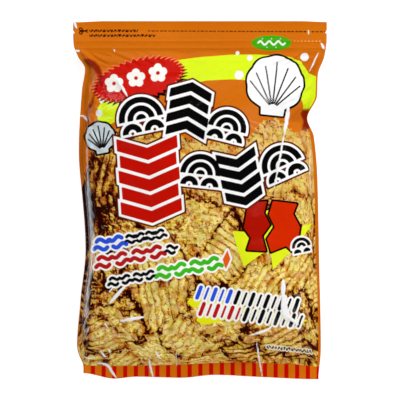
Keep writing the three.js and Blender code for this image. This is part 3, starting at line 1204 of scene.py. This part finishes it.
def film_print():
    """The front film: flat inks over the picture of fried pieces, under a glossy skin."""
    material, shader = new_material("film_print")
    board = FilmBoard(material)
    across, down = board.across, board.down
    seal_inset, shells, painted_crest_highlights = board.plate("seal_inset"), board.plate("shells"), board.plate("painted_crest_highlights")

    # The picture's ragged edge, and the thin orange margins of the side seals. The full side hides
    # the left one, apart from a thin line near the bottom.
    ragged = board.times(board.less(board.noise(board.sheet, 0.25, 3, 0.6), 0.5), 9)
    edge = board.less(board.plate("picture"), ragged)
    on_left = board.step(across, 201, 199)
    tucked = board.less(board.step(down, 180, 200, 0, 9), board.step(down, 292, 306, 0, 7.4))
    margin = board.plus(board.times(on_left, tucked, seal_inset), board.step(down, 230, 300, 0, 0.8))
    colour = board.inks(board.orange(), [(fried_picture(board), edge), ((212, 112, 16), margin, 3.2)])
    colour = board.striped_band(colour, board.plate("band"))

    arch = board.larger(board.plate("arch"), board.less(1.5, seal_inset))
    # The large shell is white; the small shell on the left is painted grey-blue, a painted shade
    shell_white_and_painted_shade = board.mix(board.step(across, 200, 199), (250, 250, 250), (206, 216, 220))
    shell_ribs = board.larger(board.plate("shell_ribs"), board.plus(shells, 2))
    colour = board.inks(colour, [
        ((218, 243, 28), arch),
        ((244, 244, 238), "spots"),
        ((6, 4, 4), shells, 2),
        (shell_white_and_painted_shade, shells),
        ((20, 16, 16), shell_ribs),
        ((10, 4, 4), "badge_shade"),
        ((238, 128, 84), "badge_light"),
        ((203, 18, 6), "badge"),
        ((250, 246, 240), "blossoms"),
    ])
    # Painted shade: the folds at both shoulders are painted darker and redder, as if in shadow
    colour = board.mix(board.step(board.plate("painted_fold_shade"), 1.5, -1.5), colour, (170, 89, 149), "MULTIPLY")

    tiles = board.smaller(board.plate("tile_dark"), board.plate("tile_bright"))
    bold = board.smaller(board.plate("bold_black"), board.plate("bold_red"))
    colour = board.inks(colour, [
        ((232, 246, 30), "burst"),
        ((238, 240, 20), "brush"),
        ((14, 4, 2), tiles, 1.9),
        ((176, 20, 4), "tile_dark"),
        ((214, 42, 2), "tile_bright"),
        ((252, 250, 246), "marks", 1.9),
        (board.plate("mark_ink", "Color"), "marks"),
        ((238, 226, 196), "low_ticks", 0.9),
        ((52, 28, 14), "low_ticks"),
        ((96, 22, 8), bold, 4.1),
        ((252, 252, 250), bold, 2.4),
        ((10, 9, 10), "bold_black"),
        ((197, 18, 6), "bold_red"),
        ((62, 16, 2), "cut_marks"),
        ((66, 172, 14), "oval"),
        ((240, 248, 232), "oval_wave"),
        # Painted highlights: glints on the zip's crimps
        ((244, 190, 120), "zip_ticks"),
    ])
    # Painted highlights: white lines along the sharpest creases, ragged at their edges
    rough = board.times(board.less(board.noise(board.sheet, 0.3), 0.5), 0.8)
    colour = board.mix(board.step(board.plus(painted_crest_highlights, rough), 0.4, -0.4), colour, (250, 249, 248))
    sealed = board.larger(board.step(seal_inset, 4.2, 3.8), board.step(board.plate("band"), 0, -1))
    board.gloss(shader, colour, sealed)
    return material


def film_back():
    """The back film: plain orange with the same striped band, round a pale panel in a double line."""
    material, shader = new_material("film_back")
    board = FilmBoard(material)
    aside, apart, corner = board.off(board.across, 200), board.off(board.down, 214), 9
    past = board.join(board.larger(board.less(aside, 72), 0), board.larger(board.less(apart, 96), 0))
    panel = board.less(board.vector("LENGTH", past), corner)
    rules = board.larger(board.less(board.off(apart, 34), 0.7), board.plus(panel, corner))
    colour = board.inks(board.orange(), [
        ((198, 12, 2), panel, 4), ((240, 176, 60), panel, 2.2), ((250, 240, 206), panel),
        ((226, 150, 60), rules),
    ])
    colour = board.striped_band(colour, board.less(365, board.down))
    board.gloss(shader, colour, board.step(board.down, 364.5, 365.5))
    return material


mesh.materials.append(film_print())
mesh.materials.append(film_back())

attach(pouch, "root")
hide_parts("pouch")


def pale_floor():
    """A wide floor. The film mirrors only the gleams, so its print keeps its colour on the steep sides."""
    bm = bmesh.new()
    bmesh.ops.create_grid(bm, x_segments=1, y_segments=1, size=3)
    sheet = bpy.data.meshes.new("floor")
    bm.to_mesh(sheet)
    bm.free()
    material, shader = new_material("floor")
    shader.inputs["Base Color"].default_value = (0.4, 0.4, 0.4, 1)
    shader.inputs["Roughness"].default_value = 0.9
    shader.inputs["Emission Color"].default_value = (1, 1, 1, 1)
    shader.inputs["Emission Strength"].default_value = 0.85
    sheet.materials.append(material)
    floor = put_in_scene("floor", sheet)
    floor.visible_glossy = False
    return floor


floor = pale_floor()


def soft_light(name, place, size, power, gleam=False, tint=(1, 1, 1)):
    """An area light aimed at the pack. A gleam shows only as a highlight in the film."""
    data = bpy.data.lights.new(name, "AREA")
    data.shape = "RECTANGLE"
    data.size, data.size_y = size
    data.energy = power
    data.color = tint
    light = put_in_scene(name, data)
    light.location = place
    light.rotation_euler = (-Vector(place)).to_track_quat("-Z", "Y").to_euler()
    light.visible_glossy = gleam
    light.visible_diffuse = not gleam


def ring_of_gleams(kind, directions, reach, height, size, power):
    """The same gleam in several directions round the pack, in degrees."""
    for direction in directions:
        turn = math.radians(direction)
        place = (reach * math.cos(turn), reach * math.sin(turn), height)
        soft_light(f"{kind}_{direction}", place, size, power, gleam=True)


soft_light("right_light", (0.9, 0.7, 1.4), (0.6, 0.8), 15)
soft_light("top_light", (-0.1, 1.55, 1.05), (0.8, 0.6), 13)
soft_light("left_light", (-1.1, -0.3, 1.4), (0.7, 0.9), 4)
soft_light("near_light", (0.5, -1.5, 1.1), (0.8, 0.6), 9.5)
# Faint low strips all round shine on the film seen from the sides
ring_of_gleams("gleam", (2, 98, 138, 182, 222, 305), 1.4, 0.16, (0.8, 0.1), 0.25)
# Wider cards half way up give the sheen of film in slanting views
ring_of_gleams("sheen", (45, 135, 225, 315), 1.2, 0.66, (0.7, 0.25), 1.6)
# The steep left side mirrors a pale card from below the floor's level
soft_light("left_card", (-0.7, 0, -0.7), (1.1, 0.7), 3, gleam=True, tint=(0.86, 0.94, 1))


def studio_world():
    """A pale room whose ceiling is dark, so that level film doesn't mirror it."""
    world = bpy.data.worlds.new("studio")
    world.use_nodes = True
    board = Board(world.node_tree)
    upward = board.split(board.node("ShaderNodeTexCoord")["Generated"])[2]
    background = world.node_tree.nodes["Background"]
    background.inputs["Color"].default_value = (1, 1, 1, 1)
    board.feed(background.inputs["Strength"], board.step(upward, 0.1, 0.7, 0.75, 0.02))
    world.cycles_visibility.glossy = False
    bpy.context.scene.world = world


studio_world()

lens = bpy.data.cameras.new("camera")
lens.lens = 120
lens.sensor_width = 36
camera = put_in_scene("camera", lens)
camera.location = (0, 0, EYE_HEIGHT * MM)
bpy.context.scene.camera = camera
bpy.context.scene.view_settings.view_transform = "Standard"
